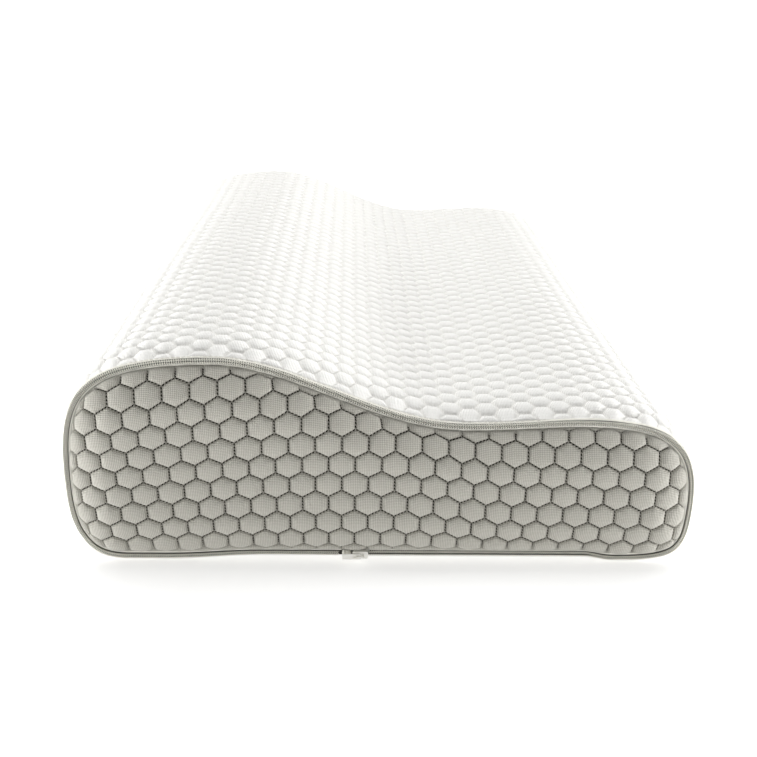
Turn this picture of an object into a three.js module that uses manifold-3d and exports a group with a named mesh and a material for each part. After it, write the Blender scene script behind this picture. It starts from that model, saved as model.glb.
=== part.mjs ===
// Contour bed pillow: a moulded foam core in a jersey liner, inside a quilted knit cover
// whose near end panel zips off. Millimetres, +Z up.
// X runs across the pillow from the high neck roll (-X) to the low one (+X), Y along its length.
// The origin is the centre of the footprint, on the surface that the pillow lies on.

import * as THREE from 'three';
import * as BufferGeometryUtils from 'three/addons/utils/BufferGeometryUtils.js';
import Module from 'manifold-3d';

const wasm = await Module();
wasm.setup();

// ---- driving dimensions -------------------------------------------------------------------

const width = 398;
const length = 600;
const humpHeight = 142;
const lobeHeight = 104;
const valleyHeight = 101;

const halfWidth = width / 2;
const halfLength = length / 2;

const quiltThickness = 5; // quilted knit of the wrap
const panelThickness = 4; // quilted knit of the end panels
const linerThickness = 1;
const gap = 0.3; // between pieces that touch on the real pillow

const rollDepth = 5; // how far the wrap rolls inwards before it meets the end seams
const rollLength = 30;
const rollPower = 2.5;
const wrapEnd = halfLength - 10.9; // where the wrap's two edges lie

const chainInset = 6; // the zip's centre line, inwards of the wrap's widest outline
const chainGap = 1.2; // between the two coils, for the slider's web
const coilWidth = 1.3;
const coilFront = -293.7;
const coilBack = -292.1;
const tapeFront = -291.8;
const tapeBack = -291.0;

const coreInset = 8.2; // foam surface, inwards of the wrap's outline
const coreEdgeRadius = 20; // moulded radius round the foam's two end faces
const coreEdgeCentre = halfLength - 26;

const sliderX = -13.5; // where the slider is parked, by the middle of the bottom edge
const sliderLength = 10;
const sliderHalfWidth = 2.5;
const tackFrom = -25; // the sewn tack that holds the zip's two cut ends
const tackTo = -19.5;
const chainStart = -7; // the panel's half of the zip begins past the parked slider

const pointsPerCurve = 8; // facets in each curve of the outline
const bottomStops = [-80, 0, 80]; // X of the extra points on the flat bottom

// ---- outline across the pillow --------------------------------------------------------------

// The outline in X and Z, anticlockwise from the bottom's left end, seen from the near end.
function outlineCurves() {
  const path = new THREE.Path();
  path.moveTo(-160, 0);
  path.lineTo(150, 0);
  path.bezierCurveTo(195, 0, halfWidth, 8, halfWidth, 40); // low side, bottom corner
  path.bezierCurveTo(halfWidth, 88, 177, lobeHeight, 121, lobeHeight); // low neck roll
  path.bezierCurveTo(99, lobeHeight, 76, valleyHeight, 50, valleyHeight); // into the dip
  path.bezierCurveTo(-3, valleyHeight, -53, humpHeight, -102, humpHeight); // rise to the high roll
  path.bezierCurveTo(-191, humpHeight, -halfWidth, 111, -halfWidth, 53); // high neck roll
  path.bezierCurveTo(-halfWidth, 16, -189, 0, -160, 0); // high side, bottom corner
  return path.curves;
}

// Points of the outline with the outward direction at each. extraX adds points on the bottom edge.
function outlinePoints(extraX = []) {
  const samples = [];
  for (const curve of outlineCurves()) {
    if (curve.isLineCurve) {
      const stops = [curve.v1.x, ...bottomStops, ...extraX];
      stops.sort((a, b) => a - b);
      for (const x of stops) {
        samples.push({ point: new THREE.Vector2(x, 0), normal: new THREE.Vector2(0, -1) });
      }
      continue;
    }
    for (let i = 0; i < pointsPerCurve; i += 1) {
      const t = i / pointsPerCurve;
      const tangent = curve.getTangent(t);
      samples.push({ point: curve.getPoint(t), normal: new THREE.Vector2(tangent.y, -tangent.x) });
    }
  }
  return samples;
}

// The middle line of the section, from the high roll to the low one, in X and Z.
const spine = new THREE.Line3(new THREE.Vector3(-130, 66, 0), new THREE.Vector3(145, 48, 0));

// One ring of points at the given Y: the outline moved inwards by inset, and then by more towards
// the spine, which keeps a deep inset from folding over itself at the corners.
function ring(samples, inset, y, more = 0) {
  return samples.map(({ point, normal }) => {
    const at = new THREE.Vector3(point.x - normal.x * inset, point.y - normal.y * inset, 0);
    const target = spine.closestPointToPoint(at, true, new THREE.Vector3());
    at.addScaledVector(target.sub(at).normalize(), more);
    return new THREE.Vector3(at.x, y, at.y);
  });
}

// A part of the outline that starts at one X of the bottom edge, runs towards +X all the way
// round and ends at another X of the bottom edge.
function outlineBetween(startX, endX) {
  const samples = outlinePoints([startX, endX]);
  const onBottom = (x) => samples.findIndex(({ point }) => point.x === x && point.y === 0);
  return [...samples.slice(onBottom(startX)), ...samples.slice(0, onBottom(endX) + 1)];
}

// ---- closed meshes from rings ---------------------------------------------------------------

// Joins rings of equal length into one closed surface. A loop joins its last ring to its first;
// otherwise the first and last ring are each closed with a flat face.
function meshFromRings(rings, isLoop = false) {
  const count = rings[0].length;
  const bands = isLoop ? rings.length : rings.length - 1;
  const index = [];
  for (let r = 0; r < bands; r += 1) {
    const here = r * count;
    const next = ((r + 1) % rings.length) * count;
    for (let i = 0; i < count; i += 1) {
      const j = (i + 1) % count;
      index.push(here + i, next + i, here + j);
      index.push(here + j, next + i, next + j);
    }
  }
  if (!isLoop) {
    const last = (rings.length - 1) * count;
    for (const [i, j, k] of flatFace(rings[0])) index.push(i, j, k);
    for (const [i, j, k] of flatFace(rings.at(-1))) index.push(last + i, last + k, last + j);
  }
  const geometry = new THREE.BufferGeometry();
  const positions = rings.flat().flatMap((p) => [p.x, p.y, p.z]);
  geometry.setAttribute('position', new THREE.Float32BufferAttribute(positions, 3));
  geometry.setIndex(index);
  return facingOut(geometry);
}

// Triangles that fill a flat loop of points, wound the same way as the loop.
function flatFace(points) {
  const size = new THREE.Box3().setFromPoints(points).getSize(new THREE.Vector3());
  const [a, b] = ['x', 'y', 'z'].sort((p, q) => size[q] - size[p]);
  const flat = points.map((p) => new THREE.Vector2(p[a], p[b]));
  const faces = THREE.ShapeUtils.triangulateShape(flat, []);
  const turn = THREE.ShapeUtils.area(flat) * THREE.ShapeUtils.area(faces[0].map((i) => flat[i]));
  return turn > 0 ? faces : faces.map(([i, j, k]) => [i, k, j]);
}

// Turns every face over if the mesh encloses a negative volume.
function facingOut(geometry) {
  const position = geometry.getAttribute('position');
  const index = geometry.getIndex();
  const corner = [new THREE.Vector3(), new THREE.Vector3(), new THREE.Vector3()];
  let volume = 0;
  for (let i = 0; i < index.count; i += 3) {
    corner.forEach((v, k) => v.fromBufferAttribute(position, index.getX(i + k)));
    volume += corner[0].dot(corner[1].clone().cross(corner[2])) / 6;
  }
  if (volume < 0) {
    for (let i = 0; i < index.count; i += 3) {
      const first = index.getX(i);
      index.setX(i, index.getX(i + 1));
      index.setX(i + 1, first);
    }
  }
  geometry.computeVertexNormals();
  return geometry;
}

// A ribbon that follows the outline. Its section is a loop of [inset, y] corners.
function ribbon(samples, section, isLoop) {
  const rings = samples.map((sample) => section.map(([inset, y]) => ring([sample], inset, y)[0]));
  return meshFromRings(rings, isLoop);
}

// A rectangular section between two insets and two Ys.
function band(innerInset, outerInset, frontY, backY) {
  return [[innerInset, frontY], [outerInset, frontY], [outerInset, backY], [innerInset, backY]];
}

// ---- foam and liner ---------------------------------------------------------------------------

const edgeSteps = 4; // facets round the foam's moulded end edges
const linerGap = 0.4;
const linerInner = coreEdgeRadius + linerGap;
const linerOuter = linerInner + linerThickness;

// Rings round one rounded end, from the side wall to the flat end face. end is -1 or 1.
function roundedEnd(samples, radius, end) {
  const rings = [];
  for (let i = 0; i <= edgeSteps; i += 1) {
    const angle = (i / edgeSteps) * (Math.PI / 2);
    const y = end * (coreEdgeCentre + radius * Math.sin(angle));
    const sideInset = coreInset + coreEdgeRadius - radius;
    rings.push(ring(samples, sideInset, y, radius * (1 - Math.cos(angle))));
  }
  return rings;
}

function foamCore() {
  const samples = outlinePoints();
  const near = roundedEnd(samples, coreEdgeRadius, -1).reverse();
  return meshFromRings([...near, ...roundedEnd(samples, coreEdgeRadius, 1)]);
}

// The straight tube of the liner, between its two end pieces.
function linerSleeve() {
  const samples = outlinePoints();
  const end = coreEdgeCentre - gap;
  const outer = coreInset + coreEdgeRadius - linerOuter;
  const inner = coreInset + coreEdgeRadius - linerInner;
  const rings = [[outer, -end], [outer, end], [inner, end], [inner, -end]];
  return meshFromRings(rings.map(([inset, y]) => ring(samples, inset, y)), true);
}

// The shaped end piece of the liner, a shallow bowl over the foam's end.
function linerEnd(end) {
  const samples = outlinePoints();
  const inside = roundedEnd(samples, linerInner, end).reverse();
  return meshFromRings([...inside, ...roundedEnd(samples, linerOuter, end)]);
}

// ---- quilted cover ------------------------------------------------------------------------------

// How far the wrap has rolled inwards at a distance from its edge.
function wrapRoll(fromEdge) {
  return rollDepth * Math.max(0, 1 - fromEdge / rollLength) ** rollPower;
}

const wrapStops = [0, 3, 7, 12, 18, rollLength]; // rings near each edge, by distance from it

// The wrap is a tube, open at both ends: the zip closes one and the far panel the other.
function coverWrap() {
  const samples = outlinePoints();
  const near = wrapStops.map((s) => ({ y: s - wrapEnd, roll: wrapRoll(s) }));
  const far = near.map(({ y, roll }) => ({ y: -y, roll })).reverse();
  const outside = [...near, ...far].map(({ y, roll }) => ring(samples, roll, y));
  const inside = [...near, ...far].map(({ y, roll }) => ring(samples, roll + quiltThickness, y));
  return meshFromRings([...outside, ...inside.reverse()], true);
}

// Steps of a panel's rim, as the distance in from its edge and the part of its full rise there.
const panelOuterSteps = [[0, 0], [0.2, 0.37], [1.7, 0.72], [5.1, 0.92], [11.1, 1]];
const panelInnerSteps = [[panelThickness, 0], [4.6, 0.55], [7, 0.88], [11.1, 1]];

// A crowned end panel: its rim turns back towards the seam. end is -1 or 1, rimInset and rimY
// place the rim's outer corner.
function endPanel(end, rimInset, rimY) {
  const samples = outlinePoints();
  const rise = halfLength - rimY;
  const innerRise = rise - panelThickness;
  const rimRing = (more, y) => ring(samples, rimInset, end * (rimY + y), more);
  const outside = panelOuterSteps.map(([more, part]) => rimRing(more, part * rise));
  const inside = panelInnerSteps.map(([more, part]) => rimRing(more, part * innerRise));
  return meshFromRings([...inside.reverse(), ...outside]);
}

const nearPanelInset = chainInset + sliderHalfWidth + 0.4;

function nearEndPanel() {
  return endPanel(-1, nearPanelInset, -coilBack);
}

function farEndPanel() {
  return endPanel(1, rollDepth + gap, wrapEnd + gap);
}

// ---- zip ------------------------------------------------------------------------------------------

const bodyCoilInner = chainInset - chainGap / 2;
const bodyCoilOuter = bodyCoilInner - coilWidth;
const panelCoilOuter = chainInset + chainGap / 2;
const panelCoilInner = panelCoilOuter + coilWidth;
const chainEnd = tackFrom - gap;
const coilClearance = 0.8; // from the tack to the wrap's coil

// The wrap's half of the tape: flat beside the coil, then folded back over the wrap's edge.
function bodyZipTape() {
  const foldOutside = 2.3;
  const foldInside = 3.1;
  const foldEnd = -287;
  const section = [
    [bodyCoilInner, tapeFront], [foldOutside, tapeFront], [foldOutside, foldEnd],
    [foldInside, foldEnd], [foldInside, tapeBack], [bodyCoilInner, tapeBack],
  ];
  return ribbon(outlinePoints(), section, true);
}

function panelZipTape() {
  const tapeInner = 10.5;
  const section = band(tapeInner, panelCoilOuter, tapeFront, tapeBack);
  return ribbon(outlineBetween(chainStart, chainEnd), section, false);
}

function bodyZipCoil() {
  const startX = tackTo + coilClearance;
  const section = band(bodyCoilInner, bodyCoilOuter, coilFront, coilBack);
  return ribbon(outlineBetween(startX, chainEnd), section, false);
}

function panelZipCoil() {
  const section = band(panelCoilInner, panelCoilOuter, coilFront, coilBack);
  return ribbon(outlineBetween(chainStart, chainEnd), section, false);
}

// ---- slider, pull and end tack --------------------------------------------------------------------

// A block between two corners.
function block(low, high) {
  const size = high.map((value, axis) => value - low[axis]);
  const geometry = new THREE.BoxGeometry(...size);
  return geometry.translate(...high.map((value, axis) => (value + low[axis]) / 2));
}

// A plate that faces -Y. Its outline is a Shape in X and Z about the given centre.
function plate(shape, frontY, backY) {
  const options = { depth: backY - frontY, bevelEnabled: false, curveSegments: 3 };
  const geometry = new THREE.ExtrudeGeometry(shape, options);
  geometry.rotateX(Math.PI / 2);
  return geometry.translate(0, backY, 0);
}

// A rectangle with rounded corners.
function roundedRectangle(lowX, lowZ, highX, highZ, radius) {
  const shape = new THREE.Shape();
  shape.moveTo(lowX + radius, lowZ);
  shape.lineTo(highX - radius, lowZ);
  shape.absarc(highX - radius, lowZ + radius, radius, -Math.PI / 2, 0);
  shape.lineTo(highX, highZ - radius);
  shape.absarc(highX - radius, highZ - radius, radius, 0, Math.PI / 2);
  shape.lineTo(lowX + radius, highZ);
  shape.absarc(lowX + radius, highZ - radius, radius, Math.PI / 2, Math.PI);
  shape.lineTo(lowX, lowZ + radius);
  shape.absarc(lowX + radius, lowZ + radius, radius, Math.PI, 1.5 * Math.PI);
  return shape;
}

function toSolid(geometry) {
  const bare = new THREE.BufferGeometry();
  bare.setAttribute('position', geometry.getAttribute('position'));
  bare.setIndex(geometry.getIndex());
  const merged = BufferGeometryUtils.mergeVertices(bare, 1e-4);
  return new wasm.Manifold(new wasm.Mesh({
    numProp: 3,
    vertProperties: new Float32Array(merged.getAttribute('position').array),
    triVerts: new Uint32Array(merged.getIndex().array),
  }));
}

function toGeometry(solid) {
  const mesh = solid.getMesh();
  const geometry = new THREE.BufferGeometry();
  geometry.setAttribute('position', new THREE.BufferAttribute(mesh.vertProperties, 3));
  geometry.setIndex(new THREE.BufferAttribute(mesh.triVerts, 1));
  geometry.computeVertexNormals();
  return geometry;
}

function joined(geometries) {
  return toGeometry(geometries.map(toSolid).reduce((sum, solid) => sum.add(solid)));
}

const chainZ = chainInset; // the bottom run of the chain lies this high
const sliderFront = -295.3;
const sliderFace = -294.1;
const sliderRear = -289.4;
const sliderRearFace = -290.6;
const pivotY = -296.7; // the pull's cross bar, under the slider's bridge
const bridgeHalfLength = 2.5;
const bridgeHalfWidth = 0.6;

function sliderBody() {
  const lowX = sliderX - sliderLength / 2;
  const highX = sliderX + sliderLength / 2;
  const lowZ = chainZ - sliderHalfWidth;
  const highZ = chainZ + sliderHalfWidth;
  const cornerRadius = 1.4;
  const wall = 0.3;
  const overlap = 0.1; // pieces of the casting run into each other by this much
  const webHalfWidth = 0.3;
  const skirtEnd = -292.3;
  const footLength = 0.8;
  const bridgeFront = -298.2;
  const bridgeBack = -297.6;
  const outline = roundedRectangle(lowX, lowZ, highX, highZ, cornerRadius);
  const pieces = [
    plate(outline, sliderFront, sliderFace),
    plate(outline, sliderRearFace, sliderRear),
    block(
      [lowX + cornerRadius, sliderFace - overlap, chainZ - webHalfWidth],
      [sliderX, sliderRearFace + overlap, chainZ + webHalfWidth],
    ),
    block(
      [lowX + cornerRadius, sliderFace - overlap, lowZ],
      [highX - cornerRadius, skirtEnd, lowZ + wall],
    ),
    block(
      [lowX + cornerRadius, sliderFace - overlap, highZ - wall],
      [highX - cornerRadius, skirtEnd, highZ],
    ),
    block(
      [sliderX - bridgeHalfLength, bridgeFront, chainZ - bridgeHalfWidth],
      [sliderX + bridgeHalfLength, bridgeBack, chainZ + bridgeHalfWidth],
    ),
  ];
  for (const side of [-1, 1]) {
    const footX = sliderX + side * (bridgeHalfLength - footLength / 2);
    pieces.push(block(
      [footX - footLength / 2, bridgeBack - overlap, chainZ - bridgeHalfWidth],
      [footX + footLength / 2, sliderFront + overlap, chainZ + bridgeHalfWidth],
    ));
  }
  return joined(pieces);
}

// The pull: a tab with an eye. The eye's cross bar turns under the slider's bridge.
function sliderPull() {
  const halfThickness = 0.4;
  const halfTab = 1.9;
  const eyeHalfWidth = 0.95;
  const eyeEnd = sliderX - 4.4;
  const tabEnd = sliderX - 11.5;
  const headEnd = sliderX + halfThickness;
  const tab = roundedRectangle(tabEnd, chainZ - halfTab, headEnd, chainZ + halfTab, 0.39);
  const blank = toSolid(plate(tab, pivotY - halfThickness, pivotY + halfThickness));
  const eye = block(
    [eyeEnd, pivotY - 1, chainZ - eyeHalfWidth],
    [sliderX - halfThickness, pivotY + 1, chainZ + eyeHalfWidth],
  );
  return toGeometry(blank.subtract(toSolid(eye)));
}

// A folded scrap of tape, bar-tacked over the zip's two cut ends.
function zipEndTack() {
  const halfHeight = 2.4;
  const front = -294;
  const outline = roundedRectangle(tackFrom, chainZ - halfHeight, tackTo, chainZ + halfHeight, 0.8);
  return plate(outline, front, coilBack);
}

// ---- the pillow --------------------------------------------------------------------------------------

const fabric = (color) => new THREE.MeshStandardMaterial({ color, roughness: 0.9, metalness: 0 });
const enamel = (color) => new THREE.MeshStandardMaterial({ color, roughness: 0.4, metalness: 0.2 });

const pillow = new THREE.Group();

function addPiece(name, geometry, material) {
  const mesh = new THREE.Mesh(geometry, material);
  mesh.name = name;
  pillow.add(mesh);
}

addPiece('foam_core', foamCore(), fabric('#efe6c8'));
addPiece('liner_sleeve', linerSleeve(), fabric('#f4f4f2'));
addPiece('liner_near_end', linerEnd(-1), fabric('#f4f4f2'));
addPiece('liner_far_end', linerEnd(1), fabric('#f4f4f2'));
addPiece('cover_wrap', coverWrap(), fabric('#f6f5f0'));
addPiece('near_end_panel', nearEndPanel(), fabric('#f0efe9'));
addPiece('far_end_panel', farEndPanel(), fabric('#f0efe9'));
addPiece('body_zip_tape', bodyZipTape(), fabric('#d8d4c0'));
addPiece('panel_zip_tape', panelZipTape(), fabric('#d8d4c0'));
addPiece('body_zip_coil', bodyZipCoil(), fabric('#dcd8c6'));
addPiece('panel_zip_coil', panelZipCoil(), fabric('#dcd8c6'));
addPiece('zip_end_tack', zipEndTack(), fabric('#e6e2d2'));
addPiece('slider_body', sliderBody(), enamel('#cfcabb'));
addPiece('slider_pull', sliderPull(), enamel('#e4dfd0'));

export default pillow;
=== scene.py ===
import math

import bmesh
import bpy
import numpy as np
from mathutils import Matrix, Vector, kdtree


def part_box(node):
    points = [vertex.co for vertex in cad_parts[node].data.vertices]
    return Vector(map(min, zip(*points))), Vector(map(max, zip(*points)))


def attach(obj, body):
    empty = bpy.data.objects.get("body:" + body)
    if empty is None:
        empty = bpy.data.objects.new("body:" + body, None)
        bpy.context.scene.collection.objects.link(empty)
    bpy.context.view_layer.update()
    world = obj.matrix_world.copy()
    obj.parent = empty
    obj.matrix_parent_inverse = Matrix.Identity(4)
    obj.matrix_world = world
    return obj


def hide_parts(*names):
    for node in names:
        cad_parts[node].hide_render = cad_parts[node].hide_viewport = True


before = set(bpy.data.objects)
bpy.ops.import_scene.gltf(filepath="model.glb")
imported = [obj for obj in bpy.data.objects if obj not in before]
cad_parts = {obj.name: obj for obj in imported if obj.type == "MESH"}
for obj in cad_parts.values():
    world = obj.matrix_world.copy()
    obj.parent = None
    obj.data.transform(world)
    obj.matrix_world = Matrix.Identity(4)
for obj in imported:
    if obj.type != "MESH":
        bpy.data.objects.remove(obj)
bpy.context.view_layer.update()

# Contour bed pillow. Shapes are worked out in millimetres, in the frame's own axes, and turned
# into metres when a mesh is made. "Inset" is a distance inwards from the wrap's widest outline.

MM = 0.001


def node_box(node):
    low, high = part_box(node)
    return np.array(low) / MM, np.array(high) / MM


# ---- driving sizes -----------------------------------------------------------------------------

wrap_high = node_box("cover_wrap")[1]
HALF_WIDTH = wrap_high[0]
HUMP_HEIGHT = wrap_high[2]
LOBE_HEIGHT = 104.0
VALLEY_HEIGHT = 101.0
WRAP_END = wrap_high[1]
PANEL_FRONT = node_box("near_end_panel")[0][1]
FAR_FACE = node_box("far_end_panel")[1][1]

ROLL_DEPTH = 5.0
ROLL_LENGTH = 30.0
ROLL_POWER = 2.5
QUILT_THICKNESS = 5.0

CHAIN_INSET = 6.0                  # the line where the zip's two halves meet
COIL_OFFSET = 0.8                  # from that line to the middle of each coil
COIL_PARTING = 0.4                 # how much further apart they stand on the slider's run
TOOTH_PITCH = 1.4
COIL_FRONT, COIL_BACK = node_box("body_zip_coil")[0][1], node_box("body_zip_coil")[1][1]
TACK_LOW, TACK_HIGH = node_box("zip_end_tack")
CHAIN_START = -7.5                 # X where the panel's tape and coil begin
NEAR_RIM_INSET = 8.8
FAR_RIM_INSET = 5.3


# ---- outline across the pillow -----------------------------------------------------------------

BOTTOM_START, BOTTOM_END = -160.0, 150.0   # X of the two ends of the flat bottom


def cubic(p0, p1, p2, p3, t):
    t = t[:, None]
    p0, p1, p2, p3 = (np.array(p, float) for p in (p0, p1, p2, p3))
    return (1 - t) ** 3 * p0 + 3 * (1 - t) ** 2 * t * p1 + 3 * (1 - t) * t * t * p2 + t ** 3 * p3


def outline_table(steps=400):
    """The outline in X and Z with its outward normals, against distance along it."""
    w, hump, lobe, dip = HALF_WIDTH, HUMP_HEIGHT, LOBE_HEIGHT, VALLEY_HEIGHT
    t = np.linspace(0, 1, steps, endpoint=False)
    bottom = np.stack([BOTTOM_START + (BOTTOM_END - BOTTOM_START) * t, np.zeros(steps)], axis=1)
    curves = [
        ((BOTTOM_END, 0), (195, 0), (w, 8), (w, 40)),
        ((w, 40), (w, 88), (177, lobe), (121, lobe)),
        ((121, lobe), (99, lobe), (76, dip), (50, dip)),
        ((50, dip), (-3, dip), (-53, hump), (-102, hump)),
        ((-102, hump), (-191, hump), (-w, 111), (-w, 53)),
        ((-w, 53), (-w, 16), (-189, 0), (BOTTOM_START, 0)),
    ]
    points = np.vstack([bottom] + [cubic(*c, t) for c in curves])
    ahead = np.roll(points, -1, axis=0)
    tangent = ahead - np.roll(points, 1, axis=0)
    tangent /= np.linalg.norm(tangent, axis=1)[:, None]
    normal = np.stack([tangent[:, 1], -tangent[:, 0]], axis=1)
    along = np.concatenate([[0], np.cumsum(np.linalg.norm(ahead - points, axis=1))])
    return along, np.vstack([points, points[:1]]), np.vstack([normal, normal[:1]])


ALONG, OUTLINE, NORMALS = outline_table()
PERIMETER = ALONG[-1]
SPINE = np.array([(-130.0, 66.0), (145.0, 48.0)])     # a line along the middle of the section


def outline_at(s):
    """Point and outward normal, in X and Z, at distance s along the outline."""
    s = np.mod(s, PERIMETER)
    point = np.stack([np.interp(s, ALONG, OUTLINE[:, k]) for k in (0, 1)], axis=-1)
    normal = np.stack([np.interp(s, ALONG, NORMALS[:, k]) for k in (0, 1)], axis=-1)
    return point, normal / np.linalg.norm(normal, axis=-1, keepdims=True)


def bottom_distance(x):
    """Distance along the outline of a point on its flat bottom."""
    return x - BOTTOM_START


def nearest_on_spine(points):
    """The place on the spine that is nearest to each point of the section."""
    run = SPINE[1] - SPINE[0]
    t = np.clip(((points - SPINE[0]) @ run) / (run @ run), 0, 1)
    return SPINE[0] + t[:, None] * run


def smoothstep(x):
    x = np.clip(x, 0, 1)
    return x * x * (3 - 2 * x)


def at(point_xz, y):
    """Joins X and Z with Y into points in space."""
    y = np.broadcast_to(y, point_xz.shape[:-1])
    return np.stack([point_xz[..., 0], y, point_xz[..., 1]], axis=-1)


SAG = 3.0
RIGHT_SAG_START, RIGHT_SAG_RUN = 128.0, 20.0       # X, past the end of the slider's run
LEFT_SAG_START, LEFT_SAG_RUN = -75.0, 60.0
SAG_BACK, SAG_BACK_RUN = -265.0, 20.0              # Y, behind which nothing sags
SAG_TOP, SAG_TOP_RUN = 4.0, 16.0                   # Z, above which it fades
REST_LEVEL = 0.5                                   # nothing sags below this


def settled(points):
    """The zipped edge sags towards the bed on both sides of the slider's straight run."""
    x, y, z = points[:, 0], points[:, 1], points[:, 2]
    right = smoothstep((x - RIGHT_SAG_START) / RIGHT_SAG_RUN)
    left = smoothstep((LEFT_SAG_START - x) / LEFT_SAG_RUN)
    near_edge = smoothstep((SAG_BACK - y) / SAG_BACK_RUN) * (1 - smoothstep((z - SAG_TOP) / SAG_TOP_RUN))
    moved = np.array(points, float)
    moved[:, 2] = np.maximum(z - SAG * (right + left) * near_edge, np.minimum(z, REST_LEVEL))
    return moved


# ---- making meshes -----------------------------------------------------------------------------

def make_mesh(name, points, faces, material, weave=None, values=None):
    """A mesh object from points in millimetres. weave gives each face corner its place on the cloth,
    in metres, and values is a dictionary of one number for each point."""
    mesh = bpy.data.meshes.new(name)
    mesh.from_pydata((settled(np.asarray(points)) * MM).tolist(), [], [list(map(int, f)) for f in faces])
    if weave is not None:
        layer = mesh.uv_layers.new(name="weave")
        layer.data.foreach_set("uv", (np.asarray(weave) * MM).astype(np.float32).ravel())
    for key, numbers in (values or {}).items():
        attribute = mesh.attributes.new(key, "FLOAT", "POINT")
        attribute.data.foreach_set("value", np.asarray(numbers, np.float32))
    mesh.polygons.foreach_set("use_smooth", [True] * len(mesh.polygons))
    mesh.materials.append(material)
    mesh.update()
    piece = bpy.data.objects.new(name, mesh)
    bpy.context.scene.collection.objects.link(piece)
    return piece


def ring_faces(count, rings, first=0, closed=False):
    """Quads between rings of points. closed also joins the last ring to the first."""
    i = np.arange(count)
    j = (i + 1) % count
    faces = []
    for r in range(rings if closed else rings - 1):
        here = first + r * count
        there = first + ((r + 1) % rings) * count
        faces.append(np.stack([here + i, here + j, there + j, there + i], axis=1))
    return np.vstack(faces)


def skin_faces(count, rings, closed=False):
    """Quads between rings of points, with a cap on each end unless the last ring joins the first."""
    faces = ring_faces(count, rings, closed=closed).tolist()
    if not closed:
        faces.append(list(range(count))[::-1])
        faces.append([(rings - 1) * count + k for k in range(count)])
    return faces


def ribbon(name, distances, section, material, closed, behind_teeth_shade=()):
    """Runs a section along the outline. The section is a loop of (inset, y) points, the same all
    the way or one loop for each distance. Its last argument lists the section's points that lie behind
    the teeth; these are painted in shade."""
    point, normal = outline_at(distances)
    section = np.broadcast_to(section, (len(distances),) + np.shape(section)[-2:])
    count = section.shape[1]
    across = point[:, None] - normal[:, None] * section[..., 0:1]
    points = np.stack([across[..., 0], section[..., 1], across[..., 1]], axis=-1).reshape(-1, 3)
    faces = skin_faces(count, len(distances), closed)
    girth = np.concatenate([[0], np.cumsum(np.linalg.norm(np.diff(section[0], axis=0), axis=1))])
    spots = np.stack([np.repeat(distances, count), np.tile(girth, len(distances))], axis=1)
    weave = np.vstack([spots[f] for f in faces])
    # the points behind the teeth are stored as groove, which the tape's material paints in shade
    behind = np.tile(np.isin(np.arange(count), behind_teeth_shade), len(distances))
    return face_outwards(make_mesh(name, points, faces, material, weave, {"groove": behind}))


def face_outwards(piece):
    """Turns a closed mesh's faces to look outwards."""
    work = bmesh.new()
    work.from_mesh(piece.data)
    bmesh.ops.recalc_face_normals(work, faces=work.faces)
    work.to_mesh(piece.data)
    work.free()
    return piece


# ---- honeycomb cells ---------------------------------------------------------------------------

MERGE_GRID = 50                    # steps in a millimetre, for telling that two points are the same


def hexagon_ring(corners, per_side, fraction):
    """Points round a hexagon shrunk to a fraction of its size."""
    start = corners
    end = np.roll(corners, -1, axis=0)
    steps = np.arange(per_side) / per_side
    points = start[:, None] + (end - start)[:, None] * steps[None, :, None]
    return points.reshape(-1, 2) * fraction


def cell_template(corners, rings):
    """One cell. rings lists (fraction, points a side, height) from the groove inwards.
    Returns its points, their heights, the triangles and how far each point is into a stitch."""
    points, heights, stitch, starts = [], [], [], []
    for level, (fraction, per_side, height) in enumerate(rings):
        ring = hexagon_ring(corners, per_side, fraction)
        starts.append((len(points), per_side))
        points.extend(ring)
        heights.extend([height] * len(ring))
        odd = np.arange(len(ring)) % 2
        stitch.extend(odd if level == 0 and per_side > 2 else np.zeros(len(ring)))
    centre = len(points)
    points.append(np.zeros(2))
    heights.append(1.0)
    stitch.append(0.0)
    faces = []
    for (a, na), (b, nb) in zip(starts, starts[1:]):
        ratio = na // nb
        for k in range(6 * nb):
            inner, inner_next = b + k, b + (k + 1) % (6 * nb)
            outer = [a + (k * ratio + step) % (6 * na) for step in range(ratio + 1)]
            if ratio == 1:
                faces.append((outer[0], outer[1], inner_next))
                faces.append((outer[0], inner_next, inner))
            else:
                faces.append((outer[0], outer[1], inner))
                faces.append((outer[1], inner_next, inner))
                faces.append((outer[1], outer[2], inner_next))
    last, count = starts[-1][0], 6 * starts[-1][1]
    faces.extend((last + k, last + (k + 1) % count, centre) for k in range(count))
    return np.array(points), np.array(heights), np.array(faces), np.array(stitch, float)


def merge_cells(places, faces):
    """Merges points that share a place, and drops the faces that this closes up. Returns which of
    the old points each new one is, the faces in new points, and the same faces in old ones."""
    keys = np.round(places * MERGE_GRID).astype(np.int64)
    _, first, back = np.unique(keys, axis=0, return_index=True, return_inverse=True)
    merged = back.ravel()[faces]
    ok = (merged[:, 0] != merged[:, 1]) & (merged[:, 1] != merged[:, 2]) & (merged[:, 0] != merged[:, 2])
    used, compact = np.unique(merged[ok], return_inverse=True)
    return first[used], compact.reshape(-1, 3), faces[ok]


# ---- the wrap ----------------------------------------------------------------------------------

COLUMNS = 86                       # columns of cells round the wrap, an even number
COLUMN_PITCH = PERIMETER / COLUMNS
CELL_PITCH = WRAP_END / 21         # along a column, so that both edges cut cells in half
CELL_RISE = 2.2
CELL_SINK = 0.75                   # the part of a cell's rise that lies under the plain surface
EDGE_LIFT = 0.6
EDGE_PINCH = 4.0                   # the quilting dies away within this of the edge
LOWEST = 0.3                       # the wrap's underside rests at this height
SEAM_SHIFT = 0.01                  # keeps the outline's first point and its last one together
WRAP_RINGS = [(1.0, 2, 0.0), (0.88, 2, 0.42), (0.62, 1, 0.86)]
LINING_STOPS = np.array([0, 4, 9, 16, 30, 150.0])  # distances of the lining's rings from the edge


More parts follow.
